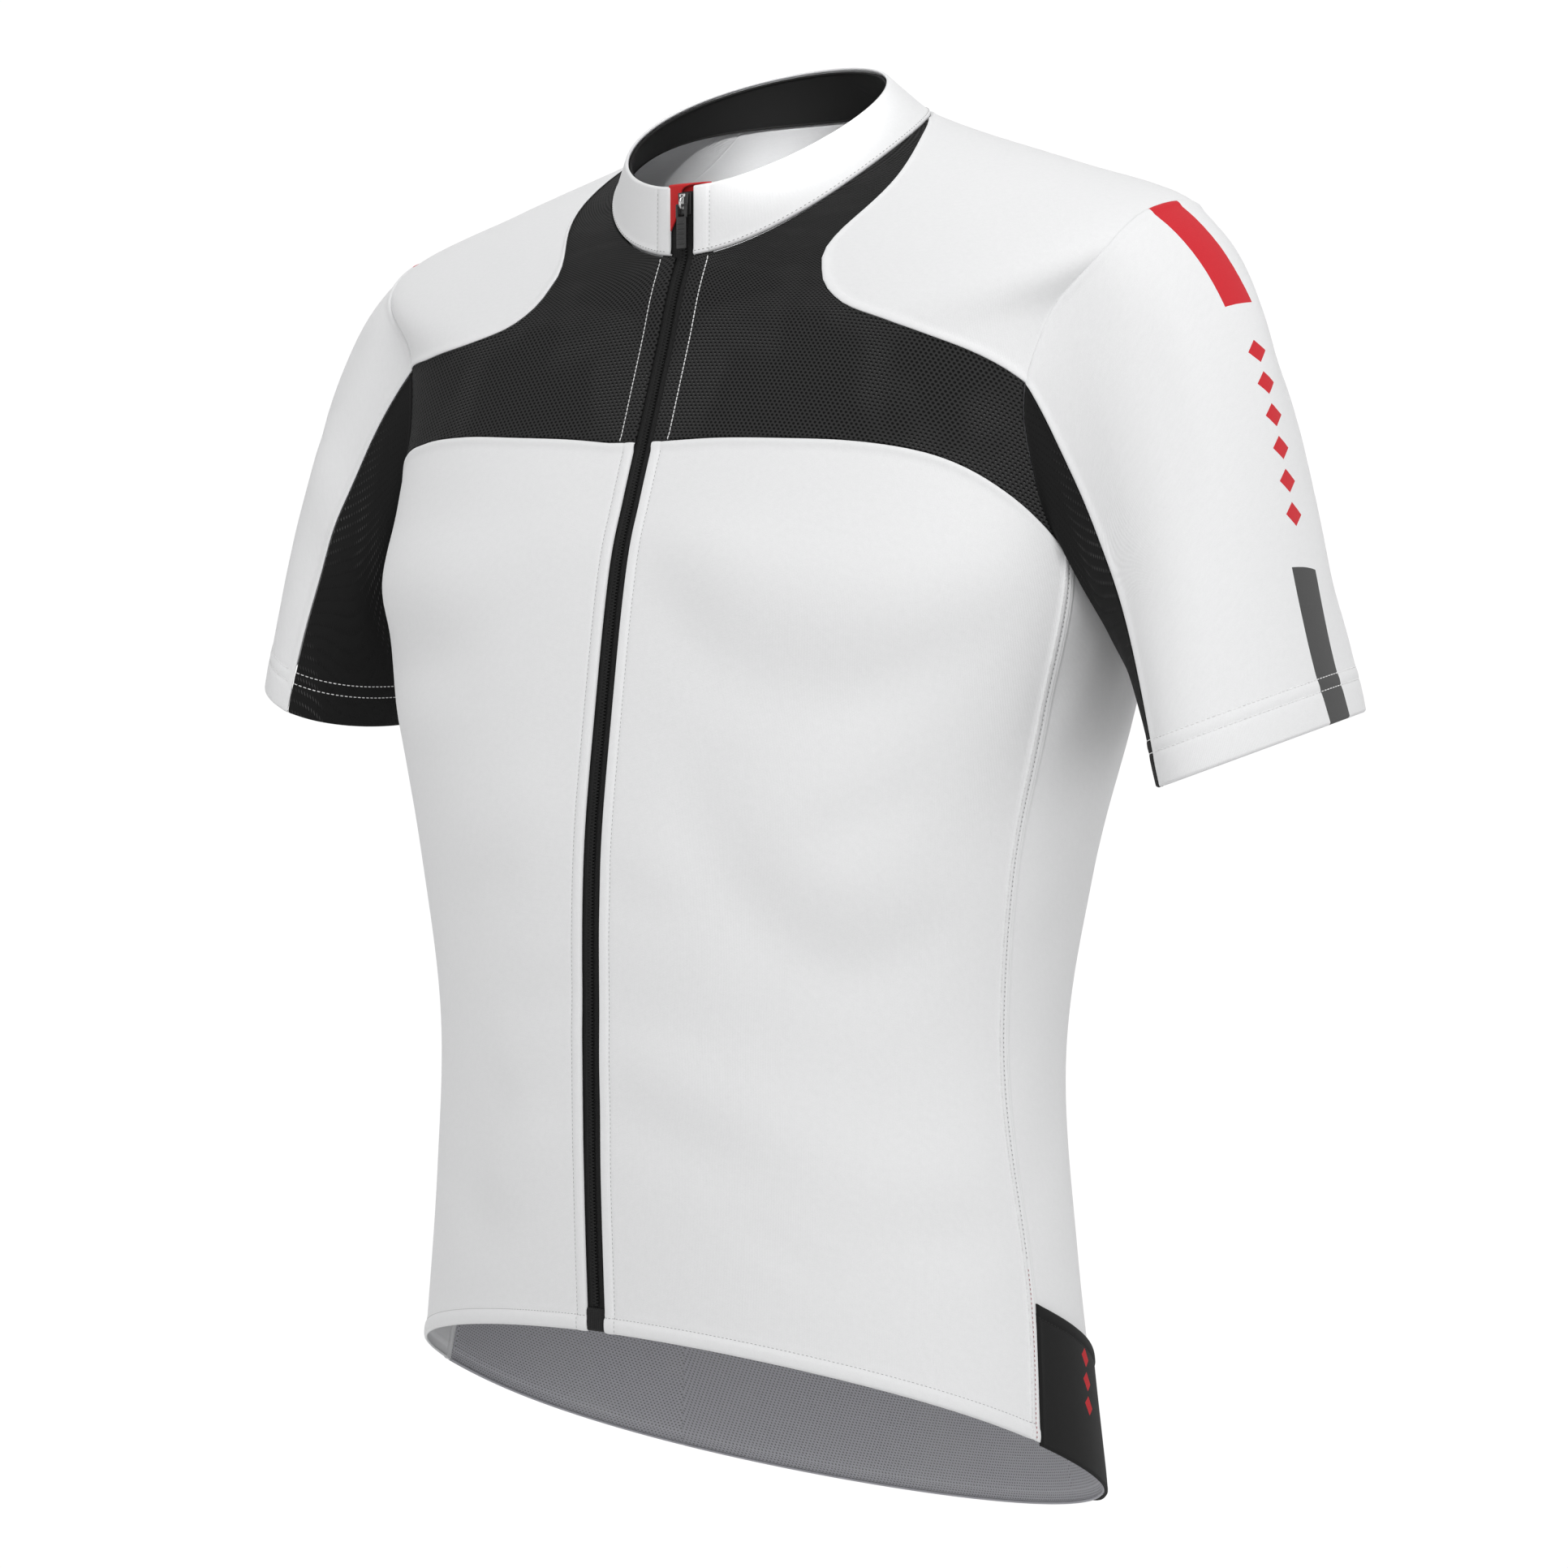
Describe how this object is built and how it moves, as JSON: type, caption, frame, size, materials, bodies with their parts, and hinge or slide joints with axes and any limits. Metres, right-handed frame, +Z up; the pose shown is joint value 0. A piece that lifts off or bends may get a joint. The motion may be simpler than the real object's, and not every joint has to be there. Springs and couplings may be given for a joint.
{
  "type": "short-sleeved cycling jersey",
  "caption": "Short-sleeved cycling jersey, filled out as on a wearer, with a stand collar, full front zip, mesh yoke and a rear pocket band.",
  "frame": {"origin": "point on the body's upright middle line at the height of the shoulders' tops, between the neck's two sides, where the wearer carries the jersey", "axes": "+Z up towards the collar, +X to the wearer's left, +Y to the back"},
  "size_m": [0.5989, 0.2476, 0.695],
  "materials": {
    "white_cloth": "matte fine knit",
    "light_mesh": "matte mesh knit",
    "black_mesh": "matte honeycomb knit",
    "black_cloth": "matte knit",
    "red_cloth": "matte woven tab",
    "zip_tape": "woven tape",
    "zip_plastic": "moulded, satin",
    "slider_metal": "satin black enamel"
  },
  "bodies": {
    "jersey": {"front_left": "white_cloth", "front_right": "white_cloth", "yoke_left": "black_mesh", "yoke_right": "black_mesh", "shoulder_left": "white_cloth", "shoulder_right": "white_cloth", "side_left": "white_cloth", "side_right": "white_cloth", "back": "light_mesh", "pocket": "black_cloth", "sleeve_left": "white_cloth", "sleeve_right": "white_cloth", "insert_left": "black_mesh", "insert_right": "black_mesh", "collar": "white_cloth", "collar_facing": "black_cloth", "zip_tape_left": "zip_tape", "zip_tape_right": "zip_tape", "zip_chain": "zip_plastic", "zip_stop": "zip_plastic", "zip_guard": "red_cloth", "zip_slider": "slider_metal"},
    "pull": {"zip_pull": "zip_plastic"}
  },
  "joints": [
    {"name": "zip_pull_swing", "type": "hinge", "parent": "jersey", "child": "pull", "pos_m": [0.0006, -0.0735, -0.0369], "axis": [-1, 0, 0], "range_deg": [0, 150]}
  ]
}
